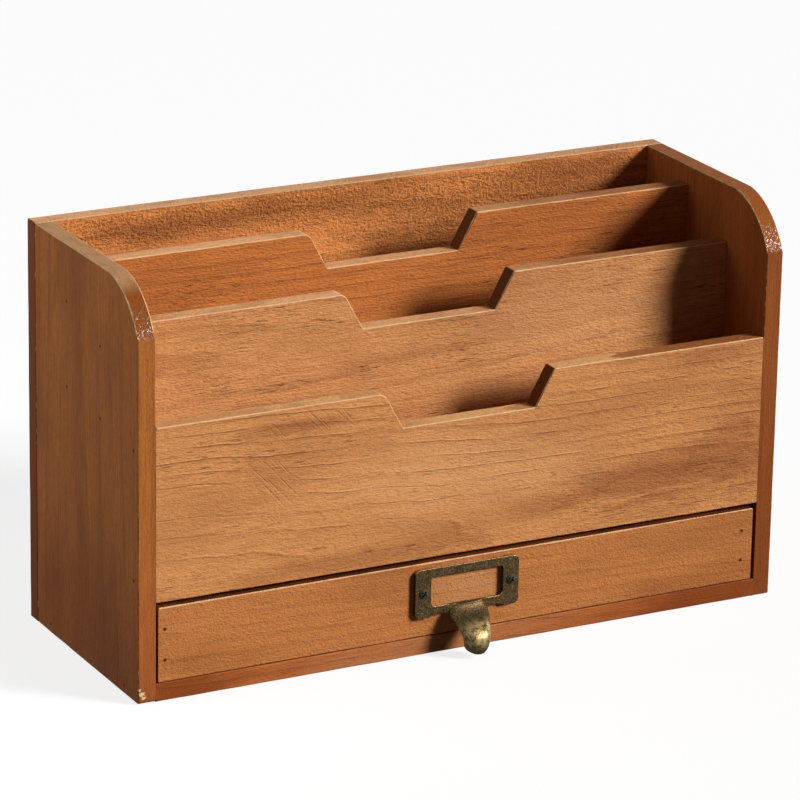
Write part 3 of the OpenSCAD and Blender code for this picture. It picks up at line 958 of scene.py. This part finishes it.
def make_pull():
    node = "label_frame_pull"
    rough = link(bpy.data.objects.new("pull_rough", frame["nodes"][node].data.copy()))
    remesh = rough.modifiers.new("Cast", "REMESH")
    remesh.mode = "VOXEL"
    remesh.voxel_size = PULL_VOXEL
    smooth = rough.modifiers.new("Soften", "SMOOTH")
    smooth.iterations = PULL_SMOOTHING
    graph = bpy.context.evaluated_depsgraph_get()
    mesh = bpy.data.meshes.new_from_object(rough.evaluated_get(graph))
    bpy.data.objects.remove(rough)
    normals = [vertex.normal.copy() for vertex in mesh.vertices]
    for vertex, normal in zip(mesh.vertices, normals):
        vertex.co += normal * PULL_PITTING * noise.noise(vertex.co / PULL_PIT_SIZE)
    mesh.shade_smooth()
    mesh.name = node + "_cast"
    dress(link(bpy.data.objects.new(node + "_cast", mesh)), node, brass("antique_brass"))


def make_fasteners():
    """Brads and screws keep their CAD meshes and get their own steel."""
    stained = dark_steel("stained_steel", *STAINED_STEEL)
    looks = {node: stained for node in BRADS}
    looks["pull_screws"] = dark_steel("blackened_steel", *BLACKENED_STEEL)
    for node, steel in looks.items():
        mesh = frame["nodes"][node].data
        mesh.materials.clear()
        mesh.materials.append(steel)


# Stage


def grey(level):
    return (level, level, level, 1.0)


def make_floor():
    mesh = bpy.data.meshes.new("floor")
    corners = [(-1, -1), (1, -1), (1, 1), (-1, 1)]
    points = [(x * FLOOR_HALF, y * FLOOR_HALF, -FLOOR_DROP) for x, y in corners]
    mesh.from_pydata(points, [], [(0, 1, 2, 3)])
    surface = Surface("pale_floor")
    seen = surface.bright_rays()
    surface.set(Base_Color=surface.blend(seen, grey(FLOOR_BOUNCE), grey(FLOOR_SHADE)))
    surface.set(Roughness=1.0, Specular_IOR_Level=0.0, Emission_Color=WHITE)
    surface.set(Emission_Strength=seen * FLOOR_GLOW)
    mesh.materials.append(surface.material)
    link(bpy.data.objects.new("floor", mesh))


def make_world():
    world = bpy.data.worlds.new("studio")
    world.use_nodes = True
    bpy.context.scene.world = world
    nodes = Nodes(world.node_tree)
    background = world.node_tree.nodes["Background"]
    nodes.feed(background.inputs["Color"], WHITE)
    nodes.feed(background.inputs["Strength"], nodes.bright_rays().span(SKY_STRENGTH, 1.0))


def make_lamps():
    sun = bpy.data.lights.new("key", "SUN")
    sun.energy = KEY_STRENGTH
    sun.angle = math.radians(KEY_ANGLE)
    key = link(bpy.data.objects.new("key", sun))
    key.rotation_mode = "QUATERNION"
    key.rotation_quaternion = KEY_DIRECTION.to_track_quat("Z", "Y")
    panel = bpy.data.lights.new("fill", "AREA")
    panel.size = FILL_SIZE
    panel.energy = FILL_POWER
    fill = link(bpy.data.objects.new("fill", panel))
    fill.location = FILL_PLACE
    fill.rotation_mode = "QUATERNION"
    fill.rotation_quaternion = (FILL_PLACE - FILL_AIM).to_track_quat("Z", "Y")


def make_camera():
    camera = link(bpy.data.objects.new("camera", bpy.data.cameras.new("camera")))
    camera.data.sensor_width = SENSOR_WIDTH
    camera.data.lens = FOCAL_PIXELS * SENSOR_WIDTH / FRAME_PIXELS
    turn = Matrix.Rotation(math.radians(CAMERA_AZIMUTH), 4, "Z")
    tilt = Matrix.Rotation(math.radians(90 - CAMERA_ELEVATION), 4, "X")
    roll = Matrix.Rotation(math.radians(CAMERA_ROLL), 4, "Z")
    camera.matrix_world = Matrix.Translation(CAMERA_PLACE) @ turn @ tilt @ roll
    bpy.context.scene.camera = camera


bpy.context.scene.view_settings.view_transform = "Standard"
for node, look in BOARDS.items():
    make_board(node, look)
make_pull()
make_fasteners()
make_floor()
make_world()
make_lamps()
make_camera()
